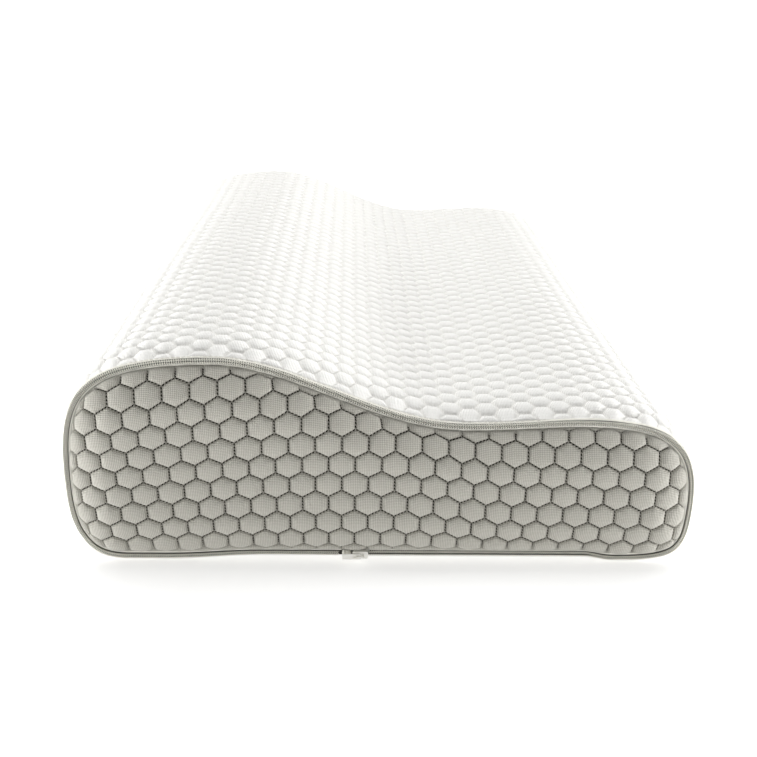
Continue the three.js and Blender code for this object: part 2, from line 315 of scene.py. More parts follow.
def wrap_roll(from_edge):
    """How far the wrap turns in at a distance from its open edge."""
    return ROLL_DEPTH * np.clip(1 - from_edge / ROLL_LENGTH, 0, 1) ** ROLL_POWER


def wrap_softness(point, normal, y):
    """Slow swells of the cloth and small tucks at the zipped edge, as a lift along the normal."""
    from_edge = WRAP_END - np.abs(y)
    top = smoothstep(normal[..., 1] * 1.5)
    swell = 0.5 * np.sin(point[..., 0] / 41 + y / 63) + 0.4 * np.sin(point[..., 0] / 23 - y / 87 + 1.3)
    wander = 0.7 * np.sin(point[..., 0] / 31)
    tuck = 0.4 * np.sin(point[..., 0] / 6.3 + wander) * np.exp(-from_edge / 9.0)
    return (swell + tuck) * top


def wrap_point(s, y, lift):
    """A point of the wrap's outside, raised by lift along the surface normal."""
    point, normal = outline_at(s)
    from_edge = WRAP_END - np.abs(y)
    slope = (wrap_roll(from_edge - 0.5) - wrap_roll(from_edge + 0.5)) * np.sign(y)
    rise = lift + wrap_softness(point, normal, y)
    face = at(normal, slope)
    face /= np.linalg.norm(face, axis=-1, keepdims=True)
    base = at(point - normal * wrap_roll(from_edge)[..., None], y)
    out = base + face * rise[..., None]
    out[..., 2] = np.maximum(out[..., 2], LOWEST)
    return out


def quilted_wrap(material):
    """The tube of quilted cloth round the pillow: cells outside, a plain lining inside."""
    half = CELL_PITCH / 2
    c1, c2 = COLUMN_PITCH / 3, COLUMN_PITCH * 2 / 3
    corners = np.array([(c2, 0), (c1, half), (-c1, half), (-c2, 0), (-c1, -half), (c1, -half)])
    points, heights, faces, _ = cell_template(corners, WRAP_RINGS)
    centres = []
    rows = int(round(WRAP_END / CELL_PITCH))
    for column in range(COLUMNS):
        for row in range(-rows - 1, rows + 1):
            centres.append((column * COLUMN_PITCH, row * CELL_PITCH + half * (column % 2)))
    centres = np.array(centres)
    spots = (centres[:, None] + points[None]).reshape(-1, 2)
    height = np.tile(heights, len(centres))
    index = (np.arange(len(centres))[:, None, None] * len(points) + faces[None]).reshape(-1, 3)
    index = index[np.abs(spots[index][:, :, 1].mean(axis=1)) < WRAP_END]
    keys = np.stack([np.mod(spots[:, 0] + SEAM_SHIFT, PERIMETER), spots[:, 1]], axis=1)
    first, merged, kept = merge_cells(keys, index)
    place = spots[first]
    from_edge = WRAP_END - np.abs(place[:, 1])
    pinch = smoothstep(from_edge / EDGE_PINCH)
    lift = CELL_RISE * (height[first] - CELL_SINK) * pinch + EDGE_LIFT * (1 - pinch)
    outside = wrap_point(place[:, 0], place[:, 1], lift)

    # The lining side: rings that repeat the outside's edge points, joined to both edges.
    around_edge = np.mod(place[:, 0] + SEAM_SHIFT, PERIMETER)
    near, far = (np.where(np.abs(place[:, 1] - end) < 1e-3)[0] for end in (-WRAP_END, WRAP_END))
    near, far = (ids[np.argsort(around_edge[ids])] for ids in (near, far))
    distances = place[near, 0]
    count = len(distances)
    levels = np.concatenate([LINING_STOPS - WRAP_END, (WRAP_END - LINING_STOPS)[::-1]])
    point, normal = outline_at(distances)
    lining = []
    for y in levels:
        inset = wrap_roll(WRAP_END - abs(y)) + QUILT_THICKNESS
        lining.append(at(point - normal * inset, y))
    start = len(outside)
    i, j = np.arange(count), (np.arange(count) + 1) % count
    last = start + (len(levels) - 1) * count
    rim_near = np.stack([near[i], near[j], start + j, start + i], axis=1)
    rim_far = np.stack([far[j], far[i], last + i, last + j], axis=1)
    quads = np.vstack([ring_faces(count, len(levels), first=start), rim_near, rim_far])
    lining_spots = np.concatenate([np.stack([distances, np.full(count, y)], axis=1) for y in levels])
    every_spot = np.vstack([place, lining_spots])
    weave = np.vstack([spots[kept[:, ::-1]].reshape(-1, 2), every_spot[quads].reshape(-1, 2)])
    # groove marks the quilting grooves, where the knit's material paints shade
    groove = np.concatenate([1 - height[first], np.zeros(len(levels) * count)])
    values = {"groove": groove, "hole": np.zeros(len(groove))}
    points = np.vstack([outside] + lining)
    faces = merged[:, ::-1].tolist() + quads.tolist()
    return make_mesh("quilted_wrap", points, faces, material, weave, values)


# ---- end panels --------------------------------------------------------------------------------

PANEL_PITCH = 16.1                 # across the panel
PANEL_ROW = 13.3
PANEL_CELL_X, PANEL_CELL_Z = -17.4, 33.0   # centre of one cell
PANEL_RISE = 3.1
PANEL_SINK = 0.8                   # the part of a cell's rise that lies under the panel's surface
PANEL_PINCH = 5.0                  # the quilting dies away within this of the rim
PANEL_CROWN = 5.6                  # the panel's own bulge, from the rim to its middle
RIM_SHARE = 0.5                    # how much of the rim's depth its quarter circle takes
PANEL_THICKNESS = 4.0
HOLE_DEPTH = 1.1
EDGE_SLIVER = 0.4                  # cloth less than this inside the rim is drawn out to it
RIM_TUCK = 3.2                     # how far the rim's edge is turned in behind the panel
BACK_PARTS = (0.28, 0.42, 0.6, 0.8, 0.95)  # the back's rings, as parts of the way to the spine
PANEL_RINGS = [(1.0, 8, 0.0), (0.91, 8, 0.38), (0.78, 4, 0.66), (0.52, 2, 0.88), (0.26, 1, 0.97)]


def panel_drag(x, z):
    """Where cloth from x, z ends up, as the panel is pulled round its ends and over the dip."""
    left = np.clip(-30 - x, 0, None) / 100
    left_fall = (5.0 + 0.058 * np.clip(z - 30, 0, 70)) * left ** 1.3
    right_fall = 6.8 * smoothstep(x / 85) + 0.027 * np.clip(x - 75, 0, None)
    return x + 0.032 * left * (100 - z), z - left_fall - right_fall


def panel_bulge(depth, turn, x):
    """How far the panel stands out past its rim, at a depth of cloth inside the rim."""
    rolled = RIM_SHARE * turn * np.sin(np.clip(depth / turn, 0, math.pi / 2))
    crown = PANEL_CROWN * smoothstep(depth / 30)
    return rolled + crown + 0.35 * np.sin(x / 27 + 1) * smoothstep(depth / 20)


def rim_tree(inset):
    """A search tree of dense points on the outline at an inset, with those points and normals."""
    point, normal = outline_at(np.linspace(0, PERIMETER, 3000, endpoint=False))
    rim = point - normal * inset
    tree = kdtree.KDTree(len(rim))
    for i, (x, z) in enumerate(rim):
        tree.insert((x, z, 0), i)
    tree.balance()
    return tree, rim, normal


def quilted_panel(name, material, end, rim_inset, rim_y, face_y):
    """A crowned end panel. Its rim turns back through a quarter circle to meet the seam.
    end is -1 for the near panel and 1 for the far one."""
    turn = abs(face_y) - abs(rim_y)
    extra = turn * (math.pi / 2 - 1)
    tree, rim, normals = rim_tree(rim_inset - extra)
    a, b = PANEL_PITCH / 2, PANEL_ROW / 3
    corners = np.array([(0, 2 * b), (-a, b), (-a, -b), (0, -2 * b), (a, -b), (a, b)])
    points, heights, faces, stitch = cell_template(corners, PANEL_RINGS)
    centres = []
    for row in range(-4, 11):
        for column in range(-14, 16):
            x = PANEL_CELL_X + PANEL_PITCH * (column + 0.5 * (row % 2))
            centres.append((x, PANEL_CELL_Z + PANEL_ROW * row))
    spots = (np.array(centres)[:, None] + points[None]).reshape(-1, 2)
    cloth = spots.copy()
    spots = np.stack(panel_drag(spots[:, 0], spots[:, 1]), axis=1)
    nearest = np.array([tree.find((x, z, 0))[1] for x, z in spots])
    foot, facing = rim[nearest], normals[nearest]
    inside = ((foot - spots) * facing).sum(axis=1)
    beyond = inside <= EDGE_SLIVER
    index = (np.arange(len(centres))[:, None, None] * len(points) + faces[None]).reshape(-1, 3)
    index = index[~beyond[index].all(axis=1)]
    flat = np.where(beyond[:, None], foot, spots)
    first, merged, kept = merge_cells(flat, index)
    depth = np.where(beyond, 0.0, inside)[first]
    flat, foot, normal = flat[first], foot[first], facing[first]
    angle = np.clip(depth / turn, 0, math.pi / 2)
    rolled = foot - normal * (extra + turn * (1 - np.cos(angle)))[:, None]
    place = np.where((angle < math.pi / 2)[:, None], rolled, flat)
    y = end * (abs(rim_y) + panel_bulge(depth, turn, place[:, 0]))
    face = at(normal * np.cos(angle)[:, None], end * np.sin(angle))
    height = np.tile(heights, len(centres))[first]
    pinch = smoothstep(depth / PANEL_PINCH)
    pricks = np.tile(stitch, len(centres))[first] * smoothstep((depth - 1) / 3.0)
    lift = PANEL_RISE * (height - PANEL_SINK) * pinch - HOLE_DEPTH * pricks
    front = at(place, y) + face * lift[:, None]

    # The back: the rim's edge turned in, then rings that follow the bulge in to the spine.
    loop = np.where(depth == 0)[0]
    loop = loop[np.argsort(nearest[first][loop])]
    count = len(loop)
    back = [at(foot[loop] - normal[loop] * (extra + RIM_TUCK), end * abs(rim_y))]
    middle = nearest_on_spine(foot[loop])
    for part in BACK_PARTS:
        ring = foot[loop] + (middle - foot[loop]) * part
        within = np.array([tree.find((x, z, 0))[2] for x, z in ring])
        back_y = abs(rim_y) + panel_bulge(within, turn, ring[:, 0]) - PANEL_THICKNESS
        back.append(at(ring, end * back_y))
    start = len(front)
    i, j = np.arange(count), (np.arange(count) + 1) % count
    walls = [np.stack([loop[j], loop[i], start + i, start + j], axis=1)]
    for r in range(len(back) - 1):
        here, there = start + r * count, start + (r + 1) * count
        walls.append(np.stack([here + j, here + i, there + i, there + j], axis=1))
    quads = np.vstack(walls)
    cap = start + (len(back) - 1) * count + np.arange(count)[::-1]
    every_spot = np.vstack([flat, np.tile(flat[loop], (len(back), 1))])
    if end > 0:
        merged, kept, quads, cap = merged[:, ::-1], kept[:, ::-1], quads[:, ::-1], cap[::-1]
    weave = np.vstack([cloth[kept].reshape(-1, 2), every_spot[quads].reshape(-1, 2), every_spot[cap]])
    plain = np.zeros(len(back) * count)
    # groove and hole mark where the knit's material paints shade in the grooves and needle holes
    values = {"groove": np.concatenate([1 - height, plain]), "hole": np.concatenate([pricks, plain])}
    points = np.vstack([front] + back)
    faces = merged.tolist() + quads.tolist() + [cap.tolist()]
    return make_mesh(name, points, faces, material, weave, values)


# ---- zip ---------------------------------------------------------------------------------------

def between(start_x, end_x, step):
    """Distances from one X of the bottom edge, towards +X and all the way round, to another."""
    start, end = bottom_distance(start_x), bottom_distance(end_x) + PERIMETER
    return np.linspace(start, end, int((end - start) / step))


def upper_distance(x):
    """Distance along the outline of its upper point at one X."""
    upper = OUTLINE[:, 1] > HUMP_HEIGHT / 2
    k = np.argmin(np.where(upper, np.abs(OUTLINE[:, 0] - x), np.inf))
    return ALONG[k]


LOOSE_START_X, LOOSE_END_X = 186, 92       # the stretch of tape that stands up as a loose fold
TAPE_STEP = 1.4                    # between the sections of the panel's tape


def body_zip_tape(material):
    """The wrap's half of the tape, turned over the wrap's edge. It wanders a little, and stands
    up as a loose fold over the low neck roll."""
    s = np.linspace(0, PERIMETER, 900, endpoint=False)
    fold = np.array([
        (5.5, -291.1), (5.5, -291.7), (4.9, -291.9), (4.5, -291.9), (4.2, -291.3), (4.2, -290.3),
        (4.4, -289.5), (4.9, -289.1), (5.1, -289.8), (4.9, -290.5), (5.1, -291.0),
    ])
    loose = np.array([0, 0, 0.3, 0.8, 1, 1, 0.8, 0.3, 0.4, 0.8, 0.3])
    wander = 0.14 * np.sin(s / 9.0 + np.sin(s / 37)) + 0.08 * np.sin(s / 3.7 + 2 * np.sin(s / 23))
    start, end = upper_distance(LOOSE_START_X), upper_distance(LOOSE_END_X)
    raised = smoothstep((s - start) / 18) * smoothstep((end - s) / 40)
    raised = raised * (0.65 + 0.2 * np.sin(s / 7.0))
    section = np.repeat(fold[None], len(s), axis=0)
    section[..., 0] -= loose * (wander + raised)[:, None]
    section[..., 1] -= 0.5 * loose * wander[:, None]
    return ribbon("body_tape", s, section, material, True, behind_teeth_shade=(0, 1, 2))


def panel_zip_tape(material):
    """The panel's half of the tape, from the slider round to the tack."""
    s = between(CHAIN_START, TACK_LOW[0] - 0.3, TAPE_STEP)
    section = [
        (6.5, -291.1), (6.5, -291.6), (7.6, -291.7), (8.0, -292.0), (9.3, -292.1), (10.4, -291.7),
        (10.4, -291.1), (8.5, -291.0),
    ]
    return ribbon("panel_tape", s, section, material, False, behind_teeth_shade=(0, 1, 2))


TURN_POINTS = 8                    # points of wire in one turn of the coil
WIRE_RADIUS = 0.27
COIL_HALF_WIDTH = 0.52
FLATTENING = 1.25                  # a turn is a circle this much too big, cut off square
PARTED_END, PARTED_RUN = 140.0, 12.0       # X where the coils are together again, and over how far


def zip_coil(name, side, start_x, material):
    """One flattened spiral of monofilament along the outline. side is -1 for the wrap's coil and
    1 for the panel's. The two stand further apart where the slider's web passes between them."""
    half_depth = (COIL_BACK - COIL_FRONT) / 2 - WIRE_RADIUS
    start = bottom_distance(start_x)
    turns = int((bottom_distance(TACK_LOW[0] - 0.6) + PERIMETER - start) / TOOTH_PITCH)
    u = np.arange(turns * TURN_POINTS) / TURN_POINTS
    within = u % 1.0
    # the wire goes straight across the front in the first half turn and moves on at the back
    advance = np.floor(u) + np.where(within < 0.5, 0.1 * within, 0.05 + 1.9 * (within - 0.5))
    s = start + advance * TOOTH_PITCH
    angle = 2 * math.pi * within
    across = np.clip(FLATTENING * np.cos(angle), -1, 1) * COIL_HALF_WIDTH
    front = np.clip(FLATTENING * np.sin(angle), -1, 1) * half_depth
    point, normal = outline_at(s)
    parted = COIL_PARTING * smoothstep((bottom_distance(PARTED_END) - s) / PARTED_RUN)
    inset = CHAIN_INSET + side * (COIL_OFFSET + parted) + across
    path = at(point - normal * inset[:, None], (COIL_FRONT + COIL_BACK) / 2 - front)
    return tube(name, path, WIRE_RADIUS, material)


def spokes(axis, sides):
    """Unit vectors evenly round each axis and square to it."""
    guide = np.where(np.abs(axis[:, 1:2]) < 0.9, [[0.0, 1.0, 0.0]], [[1.0, 0.0, 0.0]])
    side = np.cross(axis, guide)
    side /= np.linalg.norm(side, axis=1)[:, None]
    up = np.cross(side, axis)
    turn = 2 * math.pi * np.arange(sides) / sides
    return side[:, None] * np.cos(turn)[None, :, None] + up[:, None] * np.sin(turn)[None, :, None]


def tube(name, path, radius, material, sides=5):
    """A round wire along a path, with its ends capped."""
    ahead = np.gradient(path, axis=0)
    ahead /= np.linalg.norm(ahead, axis=1)[:, None]
    points = (path[:, None] + radius * spokes(ahead, sides)).reshape(-1, 3)
    return face_outwards(make_mesh(name, points, skin_faces(sides, len(path)), material))


def capsules(name, starts, ends, radius, material, sides=6):
    """Short rounded threads, all in one mesh."""
    axis = ends - starts
    length = np.linalg.norm(axis, axis=1)[:, None]
    axis /= length
    ring = spokes(axis, sides)
    profile = [(0.0, 0.35), (0.12, 0.85), (0.35, 1.0), (0.65, 1.0), (0.88, 0.85), (1.0, 0.35)]
    rings = []
    for along, width in profile:
        centre = starts + axis * length * along
        rings.append(centre[:, None] + radius * width * ring)
    points = np.stack(rings, axis=1).reshape(-1, 3)
    each = len(profile) * sides
    one = skin_faces(sides, len(profile))
    faces = [[k + n * each for k in face] for n in range(len(starts)) for face in one]
    return face_outwards(make_mesh(name, points, faces, material))


def stitch_row(name, inset, from_y, to_y, pitch, length, radius, material):
    """Stitches right round the outline, each running a length along it and from one Y to another."""
    count = int(PERIMETER / pitch)
    s = np.arange(count) * PERIMETER / count
    point_a, normal_a = outline_at(s)
    point_b, normal_b = outline_at(s + length)
    starts, ends = at(point_a - normal_a * inset, from_y), at(point_b - normal_b * inset, to_y)
    return capsules(name, starts, ends, radius, material)


def tape_stitches(material):
    """The lockstitches that hold the tape to the wrap."""
    inset, y = 4.1, -290.4
    return stitch_row("tape_stitches", inset, y, y, pitch=3.2, length=2.5, radius=0.2, material=material)


def end_tack(material):
    """The folded scrap of tape over the zip's cut ends. Its close rows of bar-tack stitches are made by
    tack_stitches.
    """
    low, high = TACK_LOW, TACK_HIGH
    nx, nz = 26, 22
    u, v = np.meshgrid(np.linspace(-1, 1, nx), np.linspace(-1, 1, nz))
    # a square grid drawn to rounded corners
    x = u * np.sqrt(1 - 0.25 * v ** 4)
    z = v * np.sqrt(1 - 0.25 * u ** 4)
    edge = np.clip((1 - np.maximum(np.abs(u), np.abs(v))) / 0.22, 0, 1)
    middle, half = (low + high) / 2, (high - low) / 2
    puff = np.sqrt(1 - (1 - edge) ** 2) + 0.12 * np.sin(x * 9) * edge
    front_y = high[1] - 0.25 - (high[1] - low[1] - 0.35) * puff
    front = np.stack([middle[0] + half[0] * x, front_y, middle[2] + half[2] * z], axis=-1)
    back = np.stack([front[..., 0], np.full_like(front_y, high[1]), front[..., 2]], axis=-1)
    points = np.vstack([front.reshape(-1, 3), back.reshape(-1, 3)])
    faces = []
    for r in range(nz - 1):
        for c in range(nx - 1):
            a = r * nx + c
            faces.append((a, a + 1, a + nx + 1, a + nx))
            b = a + nx * nz
            faces.append((b, b + nx, b + nx + 1, b + 1))
    border = list(range(nx)) + [r * nx + nx - 1 for r in range(1, nz)]
    border += [(nz - 1) * nx + c for c in range(nx - 2, -1, -1)] + [r * nx for r in range(nz - 2, 0, -1)]
    for a, b in zip(border, border[1:] + border[:1]):
        faces.append((b, a, a + nx * nz, b + nx * nz))
    return face_outwards(make_mesh("end_tack", points, faces, material))


def tack_stitches(material):
    """Two columns of bar-tack threads, one at each end of the scrap."""
    low, high = TACK_LOW, TACK_HIGH
    rows = np.linspace(low[2] + 0.8, high[2] - 0.8, 7)
    starts, ends = [], []
    for side in (low[0] + 0.5, high[0] - 2.0):
        for z in rows:
            starts.append((side, low[1] - 0.02, z))
            ends.append((side + 1.5, low[1] - 0.02, z + 0.25))
    return capsules("tack_stitches", np.array(starts), np.array(ends), 0.16, material)


# ---- liner and foam ----------------------------------------------------------------------------

CORE_INSET = 8.2
CORE_EDGE_RADIUS = 20.0
CORE_EDGE_CENTRE = node_box("foam_core")[1][1] - CORE_EDGE_RADIUS
LINER_OUTER, LINER_INNER = CORE_EDGE_RADIUS + 1.4, CORE_EDGE_RADIUS + 0.4
SIDE_POINTS = 360
END_PARTS = (0.12, 0.28, 0.46, 0.64, 0.82, 0.95)   # rings of an end's flat face, towards the spine


def drawn_in(inset, more=0.0, part=0.0):
    """Points round the outline at an inset, then moved towards the spine by a distance, and
    then by a part of what is left of the way."""
    point, normal = outline_at(np.arange(SIDE_POINTS) * PERIMETER / SIDE_POINTS)
    here = point - normal * inset
    target = nearest_on_spine(here)
    way = target - here
    here = here + way / np.linalg.norm(way, axis=1)[:, None] * more
    return here + (target - here) * part


def end_rings(radius, end, dish=0.0):
    """Rings over one rounded end, from the side wall to a flat face that may dish in a little."""
    rings = []
    for angle in np.linspace(0, math.pi / 2, 9):
        y = end * (CORE_EDGE_CENTRE + radius * math.sin(angle))
        inset = CORE_INSET + CORE_EDGE_RADIUS - radius
        rings.append(at(drawn_in(inset, radius * (1 - math.cos(angle))), y))
    for part in END_PARTS:
        ring = drawn_in(CORE_INSET + CORE_EDGE_RADIUS - radius, radius, part)
        wave = 0.5 + 0.3 * np.sin(ring[:, 0] / 17) + 0.2 * np.sin(ring[:, 0] / 7.3 + ring[:, 1] / 9)
        rings.append(at(ring, end * (CORE_EDGE_CENTRE + radius - dish * smoothstep(part * 2) * wave)))
    return rings


def ring_solid(name, rings, material, closed):
    """A solid through rings of points. closed joins the last ring to the first, as in a sleeve."""
    points = np.concatenate(rings)
    count = len(rings[0])
    faces = skin_faces(count, len(rings), closed)
    around = np.arange(count) * PERIMETER / count
    steps = [np.linalg.norm(after - before, axis=1).mean() for before, after in zip(rings, rings[1:])]
    along = np.concatenate([[0], np.cumsum(steps)])
    spots = np.stack([np.tile(around, len(rings)), np.repeat(along, count)], axis=1)
    weave = np.vstack([spots[f] for f in faces])
    return face_outwards(make_mesh(name, points, faces, material, weave))


def foam_core(material):
    levels = np.linspace(-CORE_EDGE_CENTRE, CORE_EDGE_CENTRE, 28)[1:-1]
    middle = [at(drawn_in(CORE_INSET), y) for y in levels]
    rings = end_rings(CORE_EDGE_RADIUS, -1)[::-1] + middle + end_rings(CORE_EDGE_RADIUS, 1)
    return ring_solid("moulded_core", rings, material, False)


def liner_sleeve(material):
    end = CORE_EDGE_CENTRE - 0.3
    sections = []
    for radius, order in ((LINER_OUTER, 1), (LINER_INNER, -1)):
        inset = CORE_INSET + CORE_EDGE_RADIUS - radius
        sections.extend(at(drawn_in(inset), y) for y in np.linspace(-end, end, 30)[::order])
    return ring_solid("jersey_sleeve", sections, material, True)


def liner_end(name, end, material):
    rings = end_rings(LINER_INNER, end, 1.2)[::-1] + end_rings(LINER_OUTER, end, 1.2)
    return ring_solid(name, rings, material, False)


def liner_seam(name, end, material):
    """Overlocked seam between the liner's sleeve and one end piece, as a row of slanted threads."""
    inset = CORE_INSET + CORE_EDGE_RADIUS - LINER_OUTER
    y = end * (CORE_EDGE_CENTRE - 0.15)
    half = 1.6
    return stitch_row(
        name, inset, y - half, y + half, pitch=2.2, length=1.2, radius=0.22, material=material)


# ---- materials ---------------------------------------------------------------------------------

class Nodes:
    """Short words for building one material's nodes."""

    def __init__(self, name):
        self.material = bpy.data.materials.new(name)
        self.material.use_nodes = True
        self.tree = self.material.node_tree
        self.shader = self.tree.nodes["Principled BSDF"]

    def add(self, kind, **settings):
        node = self.tree.nodes.new(kind)
        for key, value in settings.items():
            setattr(node, key, value)
        return node

    def link(self, source, target):
        self.tree.links.new(source, target)

    def math(self, operation, a, b=None, clamp=False):
        node = self.add("ShaderNodeMath", operation=operation, use_clamp=clamp)
        for socket, value in zip(node.inputs, (a, b)):
            if value is None:
                continue
            if isinstance(value, (int, float)):
                socket.default_value = value
            else:
                self.link(value, socket)
        return node.outputs[0]

    def mix(self, factor, a, b):
        node = self.add("ShaderNodeMix", data_type="RGBA")
        for socket, value in ((node.inputs["Factor"], factor), (node.inputs[6], a), (node.inputs[7], b)):
            if isinstance(value, (int, float)):
                socket.default_value = value
            elif isinstance(value, tuple):
                socket.default_value = (*value, 1)
            else:
                self.link(value, socket)
        return node.outputs[2]

    def noise(self, scale, detail=2.0):
        node = self.add("ShaderNodeTexNoise")
        node.inputs["Scale"].default_value = scale
        node.inputs["Detail"].default_value = detail
        self.link(self.place(), node.inputs["Vector"])
        return node.outputs["Fac"]

    def place(self):
        return self.add("ShaderNodeTexCoord").outputs["Object"]

    def attribute(self, name):
        return self.add("ShaderNodeAttribute", attribute_name=name).outputs["Fac"]

    def weave_axes(self):
        """Distances across and along the cloth, in millimetres."""
        split = self.add("ShaderNodeSeparateXYZ")
        self.link(self.add("ShaderNodeUVMap", uv_map="weave").outputs["UV"], split.inputs[0])
        across, along = (self.math("MULTIPLY", split.outputs[k], 1 / MM) for k in (0, 1))
        return across, along

    def ripple(self, distance, pitch):
        """A wave from 0 to 1 with its length in millimetres."""
        wave = self.math("SINE", self.math("MULTIPLY", distance, 2 * math.pi / pitch))
        return self.math("ADD", self.math("MULTIPLY", wave, 0.5), 0.5)

    def bump(self, height, distance, strength=1.0, before=None):
        node = self.add("ShaderNodeBump")
        node.inputs["Strength"].default_value = strength
        node.inputs["Distance"].default_value = distance
        self.link(height, node.inputs["Height"])
        if before is not None:
            self.link(before, node.inputs["Normal"])
        return node.outputs["Normal"]

    def finish(self, roughness, sheen=0.0, **sockets):
        self.shader.inputs["Roughness"].default_value = roughness
        self.shader.inputs["Sheen Weight"].default_value = sheen
        for key, value in sockets.items():
            self.shader.inputs[key.replace("_", " ")].default_value = value
        return self.material


def quilted_cloth(name, light, shade, rib_pitch, cross_pitch, cross_share, hole_shade, depth):
    """Quilted knit: a fine rib, with painted shade in the quilting grooves and at the needle holes.
    The holes' argument is the colour of their painted shade, and depth is how far the knit's own valleys
    go towards the painted shade."""
    n = Nodes(name)
    u, v = n.weave_axes()
    fuzz = n.noise(900.0, 3.0)
    cloudy = n.noise(26.0, 2.0)
    rib = n.ripple(u, rib_pitch)
    loops = n.ripple(v, cross_pitch)
    both = n.math("ADD", rib, n.math("MULTIPLY", loops, cross_share))
    knit = n.math("MULTIPLY", both, 1 / (1 + cross_share))
    tint = n.mix(n.math("MULTIPLY", cloudy, 0.35), light, tuple(c * 0.95 for c in light))
    # painted shade, darkest in the quilting grooves
    groove = n.math("POWER", n.attribute("groove"), 2.0)
    tint = n.mix(n.math("MULTIPLY", groove, 0.42), tint, shade)
    # painted shade in the knit's valleys
    valley = n.math("MULTIPLY", n.math("SUBTRACT", 1.0, knit), depth)
    tint = n.mix(valley, tint, shade)
    # painted shade in the needle holes
    hole = n.math("MULTIPLY", n.math("SUBTRACT", n.attribute("hole"), 0.12), 2.8, clamp=True)
    tint = n.mix(hole, tint, hole_shade)
    n.link(tint, n.shader.inputs["Base Color"])
    fine = n.bump(knit, 0.0004, 0.8)
    n.link(n.bump(fuzz, 0.00025, 0.35, fine), n.shader.inputs["Normal"])
    return n.finish(0.92, 0.25, Sheen_Roughness=0.5, Specular_IOR_Level=0.25)


def woven_tape(name, light, shade, behind_teeth_shade):
    """Twill tape: close slanting ribs, and painted shade where the tape lies behind the teeth."""
    n = Nodes(name)
    u, v = n.weave_axes()
    twill = n.ripple(n.math("ADD", u, n.math("MULTIPLY", v, 0.8)), 0.55)
    fuzz = n.noise(1500.0, 2.0)
    mottled = n.noise(90.0, 2.0)
    tint = n.mix(n.math("MULTIPLY", mottled, 0.5), light, shade)
    # painted shade in the twill's valleys
    tint = n.mix(n.math("MULTIPLY", n.math("SUBTRACT", 1.0, twill), 0.3), tint, shade)
    # painted shade on the tape behind the teeth, from the groove attribute
    tint = n.mix(n.attribute("groove"), tint, behind_teeth_shade)
    n.link(tint, n.shader.inputs["Base Color"])
    fine = n.bump(twill, 0.0002, 0.7)
    n.link(n.bump(fuzz, 0.0001, 0.3, fine), n.shader.inputs["Normal"])
    return n.finish(0.85, 0.15, Specular_IOR_Level=0.3)


def monofilament(name, light, shade):
    """Drawn polyester wire with a soft gloss."""
    n = Nodes(name)
    streak = n.noise(700.0, 2.0)
    n.link(n.mix(n.math("MULTIPLY", streak, 0.5), light, shade), n.shader.inputs["Base Color"])
    n.link(n.bump(streak, 0.00003, 0.3), n.shader.inputs["Normal"])
    return n.finish(0.38, 0.0, Specular_IOR_Level=0.5)


def thread(name, light, shade):
    """Spun sewing thread."""
    n = Nodes(name)
    twist = n.noise(2200.0, 2.0)
    n.link(n.mix(n.math("MULTIPLY", twist, 0.6), light, shade), n.shader.inputs["Base Color"])
    n.link(n.bump(twist, 0.00006, 0.5), n.shader.inputs["Normal"])
    return n.finish(0.7, 0.2)


def enamel(name, light, worn):
    """Painted zinc casting, rubbed to bare metal on its sharpest edges."""
    n = Nodes(name)
    edges = n.add("ShaderNodeNewGeometry").outputs["Pointiness"]
    rub = n.math("MULTIPLY", n.math("SUBTRACT", edges, 0.56), 6.0, clamp=True)
    patchy = n.math("MULTIPLY", rub, n.noise(1200.0, 3.0), clamp=True)
    speckle = n.noise(500.0, 3.0)
    tint = n.mix(n.math("MULTIPLY", speckle, 0.25), light, tuple(c * 0.85 for c in light))
    n.link(n.mix(patchy, tint, worn), n.shader.inputs["Base Color"])
    n.link(n.math("MULTIPLY", patchy, 0.9), n.shader.inputs["Metallic"])
    n.link(n.bump(speckle, 0.00003, 0.4), n.shader.inputs["Normal"])
    return n.finish(0.36, 0.0, Coat_Weight=0.3, Coat_Roughness=0.2)


def jersey(name, light, shade):
    """Fine single knit: columns of loops."""
    n = Nodes(name)
    u, v = n.weave_axes()
    column = n.ripple(u, 1.1)
    slant = n.math("MULTIPLY", n.math("ABSOLUTE", n.math("SUBTRACT", column, 0.5)), 1.2)
    row = n.ripple(n.math("ADD", v, slant), 0.85)
    knit = n.math("MULTIPLY", n.math("ADD", column, row), 0.5)
    tint = n.mix(n.math("MULTIPLY", n.noise(40.0), 0.4), light, shade)
    # painted shade in the knit's valleys
    tint = n.mix(n.math("MULTIPLY", n.math("SUBTRACT", 1.0, knit), 0.25), tint, shade)
    n.link(tint, n.shader.inputs["Base Color"])
    fine = n.bump(knit, 0.0003, 0.8)
    n.link(n.bump(n.noise(1200.0), 0.0001, 0.3, fine), n.shader.inputs["Normal"])
    return n.finish(0.9, 0.3, Sheen_Roughness=0.5, Specular_IOR_Level=0.25)


def foam(name, light, shade):
    """Moulded foam: a fine open skin with larger pores here and there."""
    n = Nodes(name)
    cells = n.add("ShaderNodeTexVoronoi")
    cells.inputs["Scale"].default_value = 900.0
    n.link(n.place(), cells.inputs["Vector"])
    pores = n.math("MULTIPLY", n.math("SUBTRACT", n.noise(260.0, 3.0), 0.62), 6.0, clamp=True)
    tint = n.mix(n.math("MULTIPLY", n.noise(12.0, 3.0), 0.5), light, shade)
    # the pores are painted darker, as shade in their hollows
    n.link(n.mix(n.math("MULTIPLY", pores, 0.6), tint, shade), n.shader.inputs["Base Color"])
    fine = n.bump(cells.outputs["Distance"], 0.0004, 0.5)
    n.link(n.bump(pores, -0.0006, 0.5, fine), n.shader.inputs["Normal"])
    return n.finish(0.95, 0.1, Specular_IOR_Level=0.2)


# ---- the pillow's pieces -----------------------------------------------------------------------

def place_piece(piece, body, slot, *nodes):
    """Ties a piece to its body, and hides the CAD nodes that it stands in for. slot is not used."""
    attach(piece, body)
    if nodes:
        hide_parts(*nodes)
    return piece


